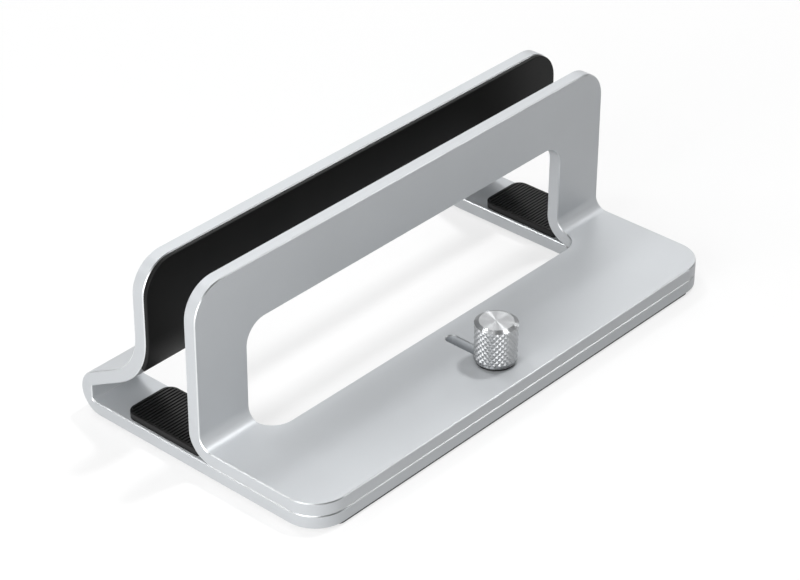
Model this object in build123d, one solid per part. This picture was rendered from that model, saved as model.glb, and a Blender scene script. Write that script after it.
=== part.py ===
from build123d import *
import os
from math import cos, pi, radians, sin, sqrt, tan

# Vertical laptop stand: two bent aluminium brackets, one sliding on the other and held by a
# thumb knob. Millimetres. X runs along the stand, +Y to the rear and +Z up. The origin is on
# the floor under the middle of the stand.

os.makedirs("parts", exist_ok=True)

# Both brackets
length = 200.4
depth = 105.1
sheet = 4.8
upright_height = 67.0
frame_width = 22.3
corner_radius = 12.0
window_radius = 8.0
edge_chamfer = 0.3
smooth_meeting_angle = 30.0

# Sliding bracket: its foot lies on the base and turns up into the front upright
front_upright_distance = 50.6
front_bend_radius = 4.8
opening_distance = 40.0

# Base bracket: the base folds back on itself at a hem, and a sloping shelf runs from the hem
# up to the rear upright
closed_gap = 17.9
hem_radius = 3.5
hem_corner_radius = 1.0
rear_bend_radius = 19.8
shelf_slope = 28.5

# Clamp: a stud stands in the base, passes through the foot's slot and carries the knob
knob_distance = 13.7
travel = 19.0
stud_diameter = 4.0
stud_engagement = 9.5
stud_head_diameter = 8.4
stud_head_height = 1.6
stud_head_sink = 0.4
stud_socket_width = 2.5
stud_socket_depth = 0.9
knob_diameter = 14.7
knob_height = 14.5
knob_bevel_width = 1.5
knob_bevel_height = 0.7
knob_foot_chamfer = 0.2
knob_bore_depth = 11.0
knurl_columns = 24
knurl_half_rows = 13
knurl_depth = 0.4
washer_diameter = 13.4
washer_thickness = 1.0

# Guides: flanged bushes screwed under the foot run in slots of the base
guide_spread = 60.0
guide_distance = 32.0
ledge_thickness = 2.4
bush_diameter = 5.0
bush_flange_diameter = 8.5
bush_flange_thickness = 0.8
guide_screw_diameter = 3.0
guide_screw_engagement = 3.2
guide_hole_depth = 3.6
guide_head_diameter = 6.0
guide_head_height = 1.2
guide_socket_width = 2.0
guide_socket_depth = 0.7

# Liners that face the laptop
liner_thickness = 1.5
liner_rounding = 0.4
rear_liner_inset = 0.3
rear_liner_wrap_angle = 28.0
front_liner_inset = 2.2

# Ribbed pads that the laptop's edge stands on
pad_thickness = 2.4
pad_inset = 1.05
pad_length = 33.4
pad_rear_radius = 4.0
pad_front_radius = 1.0
pad_rounding = 0.3
pad_border = 0.8
rib_pitch = 1.33
rib_groove_width = 0.6
rib_groove_depth = 0.4

# Rubber feet, each set in a shallow pocket under the base
foot_height = 1.0
foot_pocket_depth = 0.6
front_foot_margin = 0.7
front_foot_width = 5.4
front_foot_end_margin = 10.0
rear_foot_width = 14.0
rear_foot_length = 30.0
rear_foot_distance = 79.5
rear_foot_radius = 3.0

# Clearances on each side
running_clearance = 0.06
seat_clearance = 0.05
slot_clearance = 0.1
lift_clearance = 0.1
track_clearance = 0.5
pad_clearance = 0.4

# Levels
base_bottom = foot_height
base_top = base_bottom + sheet
foot_top = base_top + sheet
upright_top = base_bottom + upright_height
window_top = upright_top - frame_width
washer_top = foot_top + washer_thickness
knob_top = washer_top + knob_height
track_top = base_top - ledge_thickness
flange_top = track_top - lift_clearance
flange_bottom = flange_top - bush_flange_thickness
stud_head_top = base_bottom + stud_head_sink + stud_head_height

# Places along X and Y
half_length = length / 2
window_half = half_length - frame_width
leg_middle = half_length - frame_width / 2
front_edge = -depth / 2
front_face = front_edge + front_upright_distance
front_back = front_face + sheet
rear_face = front_back + closed_gap
rear_back = rear_face + sheet
opening_front = front_edge + opening_distance
knob_y = front_edge + knob_distance
guide_y = front_edge + guide_distance

# Bends
front_bend_outer = front_bend_radius + sheet
front_bend_y = front_face - front_bend_radius
hem_outer = hem_radius + sheet
hem_y = depth / 2 - hem_outer
hem_z = base_top + hem_radius
slope = radians(shelf_slope)
hem_corner_y = hem_y + hem_outer * tan((pi - slope) / 2)
shelf_corner_z = base_bottom + (hem_corner_y - rear_back) * tan(slope)
rear_bend_outer = rear_bend_radius + sheet
rear_bend_y = rear_back + rear_bend_radius
rear_bend_z = shelf_corner_z + rear_bend_radius * tan((pi / 2 - slope) / 2)


def block(low_x, high_x, low_y, high_y, low_z, high_z):
    """A box between the given limits."""
    size = (high_x - low_x, high_y - low_y, high_z - low_z)
    return Pos(low_x, low_y, low_z) * Box(*size, align=(Align.MIN, Align.MIN, Align.MIN))


def disc(x, y, diameter, low_z, high_z):
    """An upright cylinder between two levels."""
    return Pos(x, y, low_z) * extrude(Circle(diameter / 2), amount=high_z - low_z)


def hexagon(x, y, width, low_z, high_z):
    """An upright hexagonal prism, width across its flats."""
    outline = RegularPolygon(width / 2, 6, major_radius=False)
    return Pos(x, y, low_z) * extrude(outline, amount=high_z - low_z)


def slot(x, low_y, high_y, width, low_z, high_z):
    """A round-ended prism along Y. The y values are the centres of its ends."""
    outline = SlotCenterToCenter(high_y - low_y, width, rotation=90)
    return Pos(x, (low_y + high_y) / 2, low_z) * extrude(outline, amount=high_z - low_z)


def bent_sheet(corners, radii, side):
    """A folded sheet across the whole length. One of its faces follows the corners, and the
    other lies one sheet thickness to the given side of it."""
    path = FilletPolyline(*corners, radius=radii).wire()
    section = make_face(path.offset_2d(sheet, side=side))
    return extrude(Plane.YZ * section, amount=half_length, both=True)


def round_corners(part):
    """Rounds the two front corners of a bracket and the two upper corners of its upright."""
    front = part.edges().filter_by(Axis.Z).group_by(Axis.Y)[0]
    top = part.edges().filter_by(Axis.Y).group_by(Axis.Z)[-1]
    return fillet(front + top, corner_radius)


def window(upright_front):
    """The cut between the legs of a bracket: level through whatever lies behind the front
    plate, and with rounded upper corners in the upright."""
    beyond = depth
    low = block(-window_half, window_half, opening_front, beyond, 0, window_top - window_radius)
    low = fillet(low.edges().filter_by(Axis.Z).group_by(Axis.Y)[0], window_radius)
    upright_low = window_top - 2 * window_radius
    low_y = upright_front - sheet
    high_y = upright_front + 2 * sheet
    high = block(-window_half, window_half, low_y, high_y, upright_low, window_top)
    high = fillet(high.edges().filter_by(Axis.Y).group_by(Axis.Z)[-1], window_radius)
    return low + high


def sharp_edges(part):
    """The edges at which two faces of a part meet at an angle, and don't run smoothly on."""
    found = ShapeList()
    faces = part.faces()
    smooth = cos(radians(smooth_meeting_angle))
    for edge in part.edges():
        middle = edge.position_at(0.5)
        meeting = [face for face in faces if any(edge.is_same(other) for other in face.edges())]
        if len(meeting) == 2:
            normals = [face.normal_at(middle) for face in meeting]
            if abs(normals[0].dot(normals[1])) < smooth:
                found.append(edge)
    return found


def hem_hollow():
    """The end of the space behind the hem: upright, with a small radius above and below."""
    end_y = hem_y + hem_radius
    middle_high = hem_z + hem_radius / cos(slope)
    end_high = middle_high - hem_radius * tan(slope)
    outline = Polyline(
        (hem_y, base_top),
        (end_y, base_top),
        (end_y, end_high),
        (hem_y, middle_high),
        close=True,
    )
    section = make_face(outline)
    section = fillet(section.vertices().group_by(Axis.X)[-1], hem_corner_radius)
    return extrude(Plane.YZ * section, amount=half_length, both=True)


def base_bracket():
    """Base plate, hem, shelf and rear upright, folded from one sheet."""
    corners = [
        (front_edge, base_bottom),
        (hem_corner_y, base_bottom),
        (rear_back, shelf_corner_z),
        (rear_back, upright_top),
    ]
    bracket = bent_sheet(corners, [hem_outer, rear_bend_radius], Side.LEFT) - hem_hollow()
    bracket = round_corners(bracket) - window(rear_face)
    bracket = chamfer(sharp_edges(bracket), edge_chamfer)
    bracket -= disc(0, knob_y, stud_head_diameter + 2 * running_clearance, 0, stud_head_top)
    bracket -= disc(0, knob_y, stud_diameter + 2 * seat_clearance, 0, foot_top)
    for side in (-1, 1):
        bracket -= guide_track(side * guide_spread)
        bracket -= rear_foot_shape(side, seat_clearance)
    return bracket - front_foot_shape(seat_clearance)


def guide_track(x):
    """The slot that a guide bush runs in, with a wider track below for the bush's flange."""
    last = guide_y - travel
    narrow = slot(x, last, guide_y, bush_diameter + 2 * running_clearance, 0, foot_top)
    wide = slot(x, last, guide_y, bush_flange_diameter + 2 * track_clearance, 0, track_top)
    return narrow + wide


def sliding_bracket():
    """Foot and front upright, folded from one sheet, with a slot for the stud."""
    corners = [(front_edge, foot_top), (front_face, foot_top), (front_face, upright_top)]
    bracket = bent_sheet(corners, [front_bend_radius], Side.RIGHT)
    bracket = round_corners(bracket) - window(front_face)
    width = stud_diameter + 2 * slot_clearance
    bracket -= slot(0, knob_y, knob_y + travel, width, base_bottom, knob_top)
    bracket = chamfer(sharp_edges(bracket), edge_chamfer)
    for side in (-1, 1):
        diameter = guide_screw_diameter + 2 * seat_clearance
        bracket -= disc(side * guide_spread, guide_y, diameter, base_bottom, base_top + guide_hole_depth)
    return bracket


def frame_outline(half_width, low_z, high_z, radius, inner_half, inner_high, inner_radius):
    """The outline of a liner seen from the front: rounded above, open below, with legs on
    both sides of the window."""
    middle = (low_z + high_z) / 2
    outer = Pos(0, middle) * Rectangle(2 * half_width, high_z - low_z)
    outer = fillet(outer.vertices().group_by(Axis.Y)[-1], radius)
    inner = Pos(0, middle + inner_high - high_z) * Rectangle(2 * inner_half, high_z - low_z)
    inner = fillet(inner.vertices().group_by(Axis.Y)[-1], inner_radius)
    return outer - inner


def rear_liner():
    """Soft liner on the front of the rear upright. Its legs follow the start of the bend."""
    straight = Line((rear_face, upright_top), (rear_face, rear_bend_z))
    bend = CenterArc((rear_bend_y, rear_bend_z), rear_bend_outer, 180, rear_liner_wrap_angle)
    section = make_face((straight + bend).wire().offset_2d(liner_thickness, side=Side.RIGHT))
    liner = extrude(Plane.YZ * section, amount=half_length, both=True)
    outline = frame_outline(
        half_length - rear_liner_inset,
        0,
        upright_top - rear_liner_inset,
        corner_radius - rear_liner_inset,
        window_half + rear_liner_inset,
        window_top + rear_liner_inset,
        window_radius + rear_liner_inset,
    )
    liner &= extrude(Plane.XZ * outline, amount=depth, both=True)
    rim = [edge for edge in sharp_edges(liner) if edge.center().Y < rear_face - liner_thickness / 2]
    return fillet(rim, liner_rounding)


def front_liner():
    """Soft liner on the rear of the front upright. It ends above the bend."""
    low = base_top + front_bend_outer + front_liner_inset
    outline = frame_outline(
        half_length - front_liner_inset,
        low,
        upright_top - front_liner_inset,
        corner_radius - front_liner_inset,
        window_half + front_liner_inset,
        window_top + front_liner_inset,
        window_radius + front_liner_inset,
    )
    liner = Pos(0, front_back, 0) * extrude(Plane.XZ * outline, amount=-liner_thickness)
    rim = liner.faces().sort_by(Axis.Y)[-1].edges()
    return fillet(rim, liner_rounding)


def pad_blank(side, inset, low_z, high_z):
    """The plan shape of a rest pad between two levels, drawn in from its outline by an inset."""
    lift = front_bend_outer - pad_thickness
    start = front_bend_y + sqrt(front_bend_outer**2 - lift**2) + pad_clearance + inset
    end = start + pad_length - 2 * inset
    half_width = frame_width / 2 - pad_inset - inset
    middle = side * leg_middle
    blank = block(middle - half_width, middle + half_width, start, end, low_z, high_z)
    blank = fillet(blank.edges().filter_by(Axis.Z).group_by(Axis.Y)[-1], pad_rear_radius - inset)
    return fillet(blank.edges().filter_by(Axis.Z).group_by(Axis.Y)[0], pad_front_radius - inset)


def rest_pad(side):
    """Pad on one leg of the base, between the two uprights, with ribs inside a plain border."""
    pad_top = base_top + pad_thickness
    field = pad_blank(side, pad_border, pad_top - rib_groove_depth, pad_top)
    low = field.bounding_box().min
    high = field.bounding_box().max
    count = int((high.Y - low.Y - rib_groove_width) / rib_pitch) + 1
    start = (low.Y + high.Y - (count - 1) * rib_pitch - rib_groove_width) / 2
    grooves = Part()
    for index in range(count):
        groove_y = start + index * rib_pitch
        grooves += block(low.X, high.X, groove_y, groove_y + rib_groove_width, low.Z, high.Z)
    pad = pad_blank(side, 0, base_top, pad_top)
    pad = fillet(pad.faces().sort_by(Axis.Z)[-1].edges(), pad_rounding)
    return pad - (field & grooves)


def knurled_barrel(low_z, high_z):
    """A cylinder covered with small pyramids, the pattern of a diamond knurl. Its points lie
    on a lattice, and every second one stands out to the full radius."""
    peak = knob_diameter / 2
    valley = peak - knurl_depth
    around = 2 * knurl_columns
    step = (high_z - low_z) / knurl_half_rows

    def point(column, row):
        outward = (column + row) % 2 == 0 and 0 < row < knurl_half_rows
        radius = peak if outward else valley
        angle = 2 * pi * column / around
        return Vector(radius * cos(angle), knob_y + radius * sin(angle), low_z + row * step)

    faces = []
    for row in (0, knurl_half_rows):
        faces.append(Face(Wire.make_polygon([point(column, row) for column in range(around)])))
    for column in range(around):
        for row in range(knurl_half_rows):
            cell = [(column, row), (column + 1, row), (column + 1, row + 1), (column, row + 1)]
            turn = (column + row) % 2
            cell = cell[turn:] + cell[:turn]
            first, second, third, fourth = (point(i % around, j) for i, j in cell)
            faces.append(Face(Wire.make_polygon([first, second, fourth])))
            faces.append(Face(Wire.make_polygon([second, third, fourth])))
    return Solid(Shell(faces))


def knob():
    """Turned thumb knob with a knurled side, a bevelled top and a blind threaded bore."""
    radius = knob_diameter / 2
    barrel_low = washer_top + knob_foot_chamfer
    barrel_high = knob_top - knob_bevel_height
    body = knurled_barrel(barrel_low, barrel_high)
    bottom = Cone(radius - knob_foot_chamfer, radius, knob_foot_chamfer)
    body += Pos(0, knob_y, (washer_top + barrel_low) / 2) * bottom
    top = Cone(radius, radius - knob_bevel_width, knob_bevel_height)
    body += Pos(0, knob_y, (barrel_high + knob_top) / 2) * top
    bore = disc(0, knob_y, stud_diameter + 2 * running_clearance, 0, washer_top + knob_bore_depth)
    return body - bore


def knob_washer():
    """Flat washer between the knob and the foot."""
    washer = disc(0, knob_y, washer_diameter, foot_top, washer_top)
    return washer - disc(0, knob_y, stud_diameter + 2 * slot_clearance, 0, knob_top)


def clamp_stud():
    """Flat-headed screw that stands in the base, its head sunk below."""
    head_bottom = stud_head_top - stud_head_height
    stud = disc(0, knob_y, stud_head_diameter, head_bottom, stud_head_top)
    stud += disc(0, knob_y, stud_diameter, stud_head_top, washer_top + stud_engagement)
    return stud - hexagon(0, knob_y, stud_socket_width, 0, head_bottom + stud_socket_depth)


def guide_bush(side):
    """Plastic bush with a flange that keeps the foot down on the base."""
    x = side * guide_spread
    bush = disc(x, guide_y, bush_flange_diameter, flange_bottom, flange_top)
    bush += disc(x, guide_y, bush_diameter, flange_top, base_top)
    return bush - disc(x, guide_y, guide_screw_diameter + 2 * seat_clearance, 0, foot_top)


def guide_screw(side):
    """Screw that holds a guide bush to the underside of the foot."""
    x = side * guide_spread
    head_bottom = flange_bottom - guide_head_height
    screw = disc(x, guide_y, guide_head_diameter, head_bottom, flange_bottom)
    screw += disc(x, guide_y, guide_screw_diameter, flange_bottom, base_top + guide_screw_engagement)
    return screw - hexagon(x, guide_y, guide_socket_width, 0, head_bottom + guide_socket_depth)


def front_foot_shape(clearance):
    """The strip foot under the front edge, made larger by a clearance for its pocket."""
    margin = front_foot_margin - clearance
    width = front_foot_width + 2 * clearance
    span = length - 2 * (front_foot_end_margin - clearance)
    top = base_bottom + foot_pocket_depth
    outline = SlotOverall(span, width)
    return Pos(0, front_edge + margin + width / 2, 0) * extrude(outline, amount=top)


def rear_foot_shape(side, clearance):
    """The foot under one leg of the base, made larger by a clearance for its pocket."""
    width = rear_foot_width + 2 * clearance
    run = rear_foot_length + 2 * clearance
    outline = RectangleRounded(width, run, rear_foot_radius + clearance)
    top = base_bottom + foot_pocket_depth
    return Pos(side * leg_middle, front_edge + rear_foot_distance, 0) * extrude(outline, amount=top)


pieces = {
    "base_bracket": base_bracket(),
    "sliding_bracket": sliding_bracket(),
    "rear_liner": rear_liner(),
    "front_liner": front_liner(),
    "knob": knob(),
    "knob_washer": knob_washer(),
    "clamp_stud": clamp_stud(),
    "front_foot": front_foot_shape(0),
}
for name, side in (("left", -1), ("right", 1)):
    pieces[name + "_rest_pad"] = rest_pad(side)
    pieces[name + "_guide_bush"] = guide_bush(side)
    pieces[name + "_guide_screw"] = guide_screw(side)
    pieces["rear_" + name + "_foot"] = rear_foot_shape(side, 0)

for name, shape in pieces.items():
    export_step(shape, "parts/" + name + ".step")
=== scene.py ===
from math import cos, pi, radians, sin

import bpy
from mathutils import Matrix, Vector


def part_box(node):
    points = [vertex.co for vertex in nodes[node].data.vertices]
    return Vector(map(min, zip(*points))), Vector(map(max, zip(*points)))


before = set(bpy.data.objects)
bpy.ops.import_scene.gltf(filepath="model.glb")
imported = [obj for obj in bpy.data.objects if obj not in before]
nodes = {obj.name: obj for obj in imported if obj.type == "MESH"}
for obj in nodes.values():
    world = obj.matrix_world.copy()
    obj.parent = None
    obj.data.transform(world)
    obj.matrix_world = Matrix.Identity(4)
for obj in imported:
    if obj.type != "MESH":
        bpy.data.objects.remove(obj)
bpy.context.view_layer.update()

# Looks of the vertical laptop stand. Metres, in the frame of the model: X along the stand,
# +Y to the rear, +Z up, and the floor at Z = 0. The angles are in degrees.

MM = 0.001

# Camera: the image's width and the focal length are in pixels, and the sensor's width is in
# millimetres. An azimuth of 0 looks at the front of the stand, and a positive roll lifts the
# camera's right side.
IMAGE_WIDTH = 800
FOCAL_LENGTH_PIXELS = 2696.95
SENSOR_WIDTH = 36.0
CAMERA_TARGET = Vector((-7.2, -3.05, 26.0)) * MM
CAMERA_DISTANCE = 895.3 * MM
CAMERA_AZIMUTH = -48.416
CAMERA_ELEVATION = 32.555
CAMERA_ROLL = 0.311

# Floor: a disc whose rim curves up, as a studio sweep does. The rings run from the middle outwards,
# each with its radius and height. The lift is the light that camera, glossy and transmission rays
# see on top of the colour.
FLOOR_RINGS = [(3.6, 0.0), (3.8, 0.04), (4.0, 0.15), (4.1, 0.35), (4.15, 0.8)]
FLOOR_SIDES = 96
FLOOR_COLOUR = (0.3, 0.3, 0.3, 1)
FLOOR_ROUGHNESS = 0.9
FLOOR_LIFT = 0.68

# Lights: name, azimuth from +X, elevation, distance and width in metres, and power in watts
LIGHTS = [
    ("left", 180, 33, 1.6, 0.6, 3.4),
    ("rear_right", 45, 40, 1.6, 0.75, 4.0),
    ("rim_front", 318, 34, 1.6, 0.2, 1.0),
    ("rim_left", 134, 39, 1.6, 0.25, 1.8),
    ("rim_right", 13, 35, 1.6, 0.25, 1.7),
    ("high_right", 348, 66, 3.0, 0.3, 35.0),
    ("high_rear", 87, 64, 1.6, 0.2, 4.2),
    ("high_left", 190, 72, 0.8, 0.1, 0.4),
    ("near_left", 180, 20, 0.6, 0.14, 0.65),
    ("near_front_left", 205, 20, 0.45, 0.3, 0.9),
]
WORLD_STRENGTH = 0.11

# Colours of the finishes
BRACKET_COLOUR = (0.587, 0.608, 0.628)
RIM_COLOUR = (0.76, 0.78, 0.79)
KNOB_TOP_COLOUR = (0.58, 0.59, 0.60)
KNURL_COLOUR = (0.46, 0.47, 0.48)
STEEL_COLOUR = (0.52, 0.52, 0.53)
LINER_COLOUR = (0.009, 0.009, 0.009)
PAD_COLOUR = (0.008, 0.008, 0.008)
FOOT_COLOUR = (0.025, 0.025, 0.025)
WASHER_COLOUR = (0.010, 0.010, 0.011)
NYLON_COLOUR = (0.72, 0.71, 0.67)

# Noise: most of its values lie between these two
NOISE_LOW = 0.3
NOISE_HIGH = 0.7

# How far the roughness of rubber and plastic goes up and down
ROUGHNESS_CHANGE = 0.05

# Width in millimetres of the round marks on turned metal, and the share of a full turn that
# makes its highlights run across them
TURNING_MARK = 0.18
ACROSS_MARKS = 0.25

# Rims: the bevelled edges of the two brackets. A part of a bevel's normal lies between the two
# tilts. Only the upright has points above UPRIGHT_FROM, and the sides of the legs lie further
# from the middle than LEG_FROM.
RIM_WIDTH = 0.3 * MM
RIM_TILT = (0.6, 0.8)
UPRIGHT_FROM = 60 * MM
LEG_FROM = 10 * MM

# A face counts as flat when this much of its normal lies along one axis
FLAT = 0.999

# Knob: how far below its top the turned face and the bevel reach
KNOB_FACE_DEPTH = 0.1 * MM
KNOB_BEVEL_DEPTH = 1.3 * MM


def place_camera():
    """The camera at the photograph's angle, rolled a little about its own axis."""
    azimuth = radians(CAMERA_AZIMUTH)
    elevation = radians(CAMERA_ELEVATION)
    roll = radians(CAMERA_ROLL)
    back = Vector((sin(azimuth) * cos(elevation), -cos(azimuth) * cos(elevation), sin(elevation)))
    level_right = Vector((cos(azimuth), sin(azimuth), 0))
    level_up = back.cross(level_right)
    right = level_right * cos(roll) + level_up * sin(roll)
    up = level_up * cos(roll) - level_right * sin(roll)
    data = bpy.data.cameras.new("camera")
    data.sensor_width = SENSOR_WIDTH
    data.lens = FOCAL_LENGTH_PIXELS * SENSOR_WIDTH / IMAGE_WIDTH
    camera = bpy.data.objects.new("camera", data)
    place = Matrix((right, up, back)).transposed().to_4x4()
    place.translation = CAMERA_TARGET + back * CAMERA_DISTANCE
    camera.matrix_world = place
    bpy.context.scene.collection.objects.link(camera)
    bpy.context.scene.camera = camera


class Shader:
    """A node material that is built up one node at a time. Its sizes are in millimetres."""

    def __init__(self, name):
        self.material = bpy.data.materials.new(name)
        self.material.use_nodes = True
        self.tree = self.material.node_tree
        self.surface = self.tree.nodes["Principled BSDF"]
        self.place = self.add("ShaderNodeTexCoord").outputs["Object"]

    def add(self, kind, settings=None, **inputs):
        """A node with its settings and inputs. An input is a value or another node's output."""
        node = self.tree.nodes.new(kind)
        for name, value in (settings or {}).items():
            setattr(node, name, value)
        for name, value in inputs.items():
            self.join(node.inputs[name.replace("_", " ")], value)
        return node

    def join(self, socket, value):
        """Sets a socket to a value, or links another node's output to it."""
        if isinstance(value, bpy.types.NodeSocket):
            self.tree.links.new(value, socket)
        else:
            socket.default_value = value

    def work_out(self, kind, operation, *values):
        """A math or vector math node that works on values or other nodes' outputs."""
        node = self.add(kind, {"operation": operation})
        for socket, value in zip(node.inputs, values):
            self.join(socket, value)
        return node

    def set(self, **inputs):
        """Sets sockets of the surface shader."""
        for name, value in inputs.items():
            self.join(self.surface.inputs[name.replace("_", " ")], value)

    def noise(self, size, detail=2.0):
        """Noise from 0 to 1 whose patches are about this wide."""
        node = self.add("ShaderNodeTexNoise", Vector=self.place, Scale=1 / (size * MM), Detail=detail)
        return node.outputs["Fac"]

    def spread(self, noise, low, high):
        """A noise spread from low to high."""
        node = self.add("ShaderNodeMapRange", Value=noise, From_Min=NOISE_LOW, From_Max=NOISE_HIGH)
        self.join(node.inputs["To Min"], low)
        self.join(node.inputs["To Max"], high)
        return node.outputs["Result"]

    def tint(self, noise, colour, change):
        """A colour that a noise makes darker and lighter by a share of itself."""
        ramp = self.add("ShaderNodeValToRGB", Fac=noise)
        first, last = ramp.color_ramp.elements
        first.position = NOISE_LOW
        first.color = tuple(part * (1 - change) for part in colour) + (1,)
        last.position = NOISE_HIGH
        last.color = tuple(part * (1 + change) for part in colour) + (1,)
        return ramp.outputs["Color"]

    def bump(self, height, depth, before=None):
        """A bump of the given depth, on top of an earlier one."""
        node = self.add("ShaderNodeBump", Height=height, Distance=depth * MM)
        if before is not None:
            self.join(node.inputs["Normal"], before)
        return node.outputs["Normal"]


def satin_aluminium():
    """Bead-blasted and anodised sheet: a fine even grain, with faint cloudy changes."""
    shader = Shader("satin_aluminium")
    cloud = shader.noise(size=35, detail=3.0)
    grain = shader.noise(size=0.35, detail=3.0)
    fine = shader.noise(size=0.12)
    shader.set(
        Base_Color=shader.tint(cloud, BRACKET_COLOUR, change=0.02),
        Metallic=0.28,
        Roughness=shader.spread(grain, low=0.41, high=0.49),
        Normal=shader.bump(fine, depth=0.004, before=shader.bump(grain, depth=0.010)),
    )
    return shader.material


def polished_rim():
    """The bevelled edges, cut bright after the blasting, with fine marks of the cutter."""
    shader = Shader("polished_rim")
    marks = shader.noise(size=0.25, detail=3.0)
    shader.set(
        Base_Color=shader.tint(marks, RIM_COLOUR, change=0.02),
        Metallic=1.0,
        Roughness=shader.spread(marks, low=0.28, high=0.36),
        Normal=shader.bump(marks, depth=0.002),
    )
    return shader.material


def knurled_aluminium():
    """The side of the knob: a fine grain over the rolled diamonds of the mesh."""
    shader = Shader("knurled_aluminium")
    grain = shader.noise(size=0.3, detail=3.0)
    shader.set(
        Base_Color=shader.tint(grain, KNURL_COLOUR, change=0.06),
        Metallic=1.0,
        Roughness=shader.spread(grain, low=0.40, high=0.50),
        Normal=shader.bump(grain, depth=0.004),
    )
    return shader.material


def turned_aluminium(name, colour, metal, roughness):
    """Face-turned metal: round tool marks that smear each reflection into rays."""
    shader = Shader(name)
    low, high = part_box("knob")
    middle = (low + high) / 2
    offset = shader.work_out("ShaderNodeVectorMath", "SUBTRACT", shader.place, middle)
    level = shader.work_out("ShaderNodeVectorMath", "MULTIPLY", offset.outputs["Vector"], (1, 1, 0))
    radius = shader.work_out("ShaderNodeVectorMath", "LENGTH", level.outputs["Vector"])
    marks = shader.add("ShaderNodeTexNoise", {"noise_dimensions": "1D"}, W=radius.outputs["Value"])
    shader.join(marks.inputs["Scale"], 1 / (TURNING_MARK * MM))
    round_axis = shader.add("ShaderNodeTangent", {"direction_type": "RADIAL", "axis": "Z"})
    shader.set(
        Base_Color=shader.tint(marks.outputs["Fac"], colour, change=0.05),
        Metallic=metal,
        Roughness=roughness,
        Anisotropic=1.0,
        Anisotropic_Rotation=ACROSS_MARKS,
        Tangent=round_axis.outputs["Tangent"],
        Normal=shader.bump(marks.outputs["Fac"], depth=0.003),
    )
    return shader.material


def smooth_rubber(name, colour, shine, roughness, grain_size, grain_depth):
    """Moulded rubber or silicone with a fine skin."""
    shader = Shader(name)
    cloud = shader.noise(size=14, detail=3.0)
    skin = shader.noise(grain_size, detail=3.0)
    shader.set(
        Base_Color=shader.tint(cloud, colour, change=0.12),
        Specular_IOR_Level=shine,
        Roughness=shader.spread(skin, roughness - ROUGHNESS_CHANGE, roughness + ROUGHNESS_CHANGE),
        Normal=shader.bump(skin, grain_depth),
    )
    return shader.material


def plated_steel():
    """Screws and stud: dull plating."""
    shader = Shader("plated_steel")
    grain = shader.noise(size=0.4, detail=3.0)
    shader.set(
        Base_Color=shader.tint(grain, STEEL_COLOUR, change=0.06),
        Metallic=1.0,
        Roughness=shader.spread(grain, low=0.25, high=0.38),
        Normal=shader.bump(grain, depth=0.003),
    )
    return shader.material


def moulded_plastic(name, colour, roughness):
    """Moulded plastic with a fine texture."""
    shader = Shader(name)
    grain = shader.noise(size=0.3, detail=3.0)
    shader.set(
        Base_Color=shader.tint(grain, colour, change=0.08),
        Roughness=shader.spread(grain, roughness - ROUGHNESS_CHANGE, roughness + ROUGHNESS_CHANGE),
        Normal=shader.bump(grain, depth=0.005),
    )
    return shader.material


def dress(names, *materials):
    """Gives CAD nodes their materials, the first one on every face."""
    for name in names:
        mesh = nodes[name].data
        mesh.materials.clear()
        for material in materials:
            mesh.materials.append(material)
        for face in mesh.polygons:
            face.material_index = 0


def near(value, places):
    """Whether a value lies within a rim's width of one of some places."""
    return any(abs(value - place) < RIM_WIDTH for place in places)


def is_tilted(part):
    """Whether a part of a face's normal is that of a bevel at half a right angle."""
    return RIM_TILT[0] < abs(part) < RIM_TILT[1]


def upright_faces(mesh):
    """The places along Y of the front and the back of a bracket's upright."""
    places = [point.co.y for point in mesh.vertices if point.co.z > UPRIGHT_FROM]
    return min(places), max(places)


def leg_sides(mesh):
    """The distances from the middle of the inner and the outer sides of a bracket's legs."""
    flat = [abs(face.center.x) for face in mesh.polygons if abs(face.normal.x) > FLAT]
    sides = [place for place in flat if place > LEG_FROM]
    return min(sides), max(sides)


def polish_rims(name, levels):
    """Gives the bevelled edges of a bracket its second material. They lie at the levels of
    its plate, at the faces of its upright and at the sides of its legs."""
    mesh = nodes[name].data
    faces_y = upright_faces(mesh)
    sides = leg_sides(mesh)
    for face in mesh.polygons:
        middle = face.center
        along_plate = near(middle.z, levels) and is_tilted(face.normal.z)
        along_upright = near(middle.y, faces_y) and is_tilted(face.normal.y)
        along_side = near(abs(middle.x), sides) and is_tilted(face.normal.x)
        if along_plate or along_upright or along_side:
            face.material_index = 1


def dress_brackets():
    """Satin sheet with polished edges. The foot of the sliding bracket lies on the base plate and
    is as thick as it is."""
    names = ("base_bracket", "sliding_bracket")
    dress(names, satin_aluminium(), polished_rim())
    plate_bottom, plate_top = (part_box(name)[0].z for name in names)
    foot_top = 2 * plate_top - plate_bottom
    polish_rims("base_bracket", [plate_bottom, plate_top])
    polish_rims("sliding_bracket", [plate_top, foot_top])


def dress_knob():
    """The knob's knurled side, its bevel and its turned top."""
    bevel = turned_aluminium("turned_bevel", KNURL_COLOUR, metal=0.9, roughness=0.33)
    top = turned_aluminium("turned_top", KNOB_TOP_COLOUR, metal=0.35, roughness=0.47)
    dress(["knob"], knurled_aluminium(), bevel, top)
    knob_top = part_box("knob")[1].z
    for face in nodes["knob"].data.polygons:
        if face.normal.z > FLAT and face.center.z > knob_top - KNOB_FACE_DEPTH:
            face.material_index = 2
        elif face.normal.z > RIM_TILT[0] and face.center.z > knob_top - KNOB_BEVEL_DEPTH:
            face.material_index = 1


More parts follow.
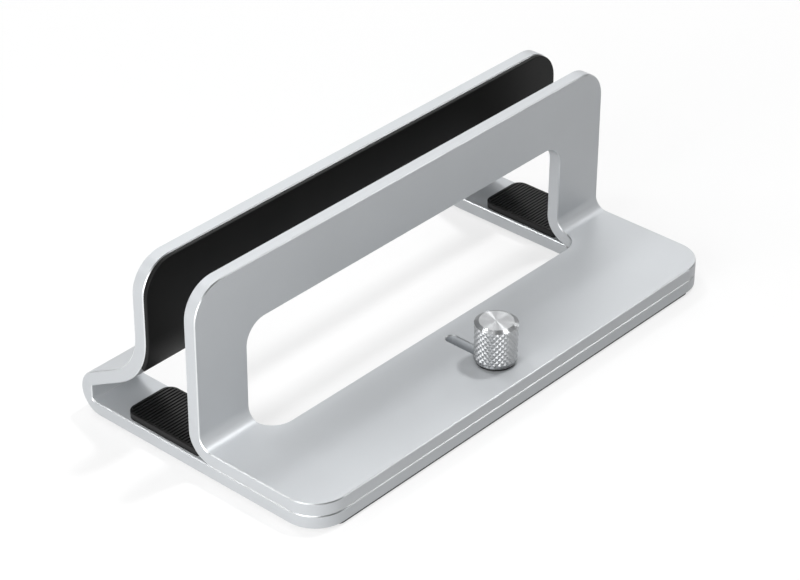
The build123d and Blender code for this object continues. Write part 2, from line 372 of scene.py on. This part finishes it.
def dress_rubber():
    """The liners are smooth, the rest pads have more sheen, and the feet are matt."""
    liner = smooth_rubber(
        "liner_rubber", LINER_COLOUR, shine=0.14, roughness=0.45, grain_size=0.3, grain_depth=0.003
    )
    pad = smooth_rubber(
        "pad_rubber", PAD_COLOUR, shine=0.22, roughness=0.36, grain_size=0.25, grain_depth=0.006
    )
    foot = smooth_rubber(
        "foot_rubber", FOOT_COLOUR, shine=0.4, roughness=0.7, grain_size=0.3, grain_depth=0.01
    )
    dress(("rear_liner", "front_liner"), liner)
    dress(("left_rest_pad", "right_rest_pad"), pad)
    dress(("front_foot", "rear_left_foot", "rear_right_foot"), foot)


def dress_fixings():
    """The stud, the screws, their bushes and the washer."""
    dress(("clamp_stud", "left_guide_screw", "right_guide_screw"), plated_steel())
    dress(["knob_washer"], moulded_plastic("washer_plastic", WASHER_COLOUR, roughness=0.5))
    nylon = moulded_plastic("bush_plastic", NYLON_COLOUR, roughness=0.5)
    dress(("left_guide_bush", "right_guide_bush"), nylon)


def floor_mesh():
    """A disc of rings of points, joined by flat faces."""
    points = []
    for radius, height in FLOOR_RINGS:
        for side in range(FLOOR_SIDES):
            turn = 2 * pi * side / FLOOR_SIDES
            points.append((cos(turn) * radius, sin(turn) * radius, height))
    faces = [tuple(range(FLOOR_SIDES))]
    for ring in range(len(FLOOR_RINGS) - 1):
        for side in range(FLOOR_SIDES):
            first = ring * FLOOR_SIDES + side
            second = ring * FLOOR_SIDES + (side + 1) % FLOOR_SIDES
            faces.append((second, first, first + FLOOR_SIDES, second + FLOOR_SIDES))
    mesh = bpy.data.meshes.new("floor")
    mesh.from_pydata(points, [], faces)
    return mesh


def pale_floor():
    """A matt colour that keeps the shadow, and looks lighter to all but diffuse rays."""
    shader = Shader("floor")
    rays = shader.add("ShaderNodeLightPath").outputs
    seen = rays["Is Camera Ray"]
    for kind in ("Is Glossy Ray", "Is Transmission Ray"):
        seen = shader.work_out("ShaderNodeMath", "MAXIMUM", seen, rays[kind]).outputs["Value"]
    lift = shader.work_out("ShaderNodeMath", "MULTIPLY", seen, FLOOR_LIFT)
    shader.set(Base_Color=FLOOR_COLOUR, Roughness=FLOOR_ROUGHNESS, Specular_IOR_Level=0.0)
    shader.set(Emission_Color=(1, 1, 1, 1), Emission_Strength=lift.outputs["Value"])
    return shader.material


def add_floor():
    """A plain pale floor with a rim that closes the view behind the stand."""
    mesh = floor_mesh()
    mesh.materials.append(pale_floor())
    floor = bpy.data.objects.new("floor", mesh)
    bpy.context.scene.collection.objects.link(floor)


def add_light(name, azimuth, elevation, distance, width, power):
    """A square soft light that faces the stand."""
    data = bpy.data.lights.new(name, "AREA")
    data.size = width
    data.energy = power
    light = bpy.data.objects.new(name, data)
    turn = radians(azimuth)
    rise = radians(elevation)
    toward = Vector((cos(turn) * cos(rise), sin(turn) * cos(rise), sin(rise)))
    light.location = toward * distance
    light.rotation_euler = toward.to_track_quat("Z", "Y").to_euler()
    light.visible_camera = False
    bpy.context.scene.collection.objects.link(light)


def light_world():
    """An even, dim world that fills the shadows a little."""
    world = bpy.data.worlds.new("world")
    world.use_nodes = True
    background = world.node_tree.nodes["Background"]
    background.inputs["Color"].default_value = (1, 1, 1, 1)
    background.inputs["Strength"].default_value = WORLD_STRENGTH
    bpy.context.scene.world = world


bpy.context.scene.view_settings.view_transform = "Standard"
place_camera()
add_floor()
light_world()
for light in LIGHTS:
    add_light(*light)
dress_brackets()
dress_knob()
dress_rubber()
dress_fixings()
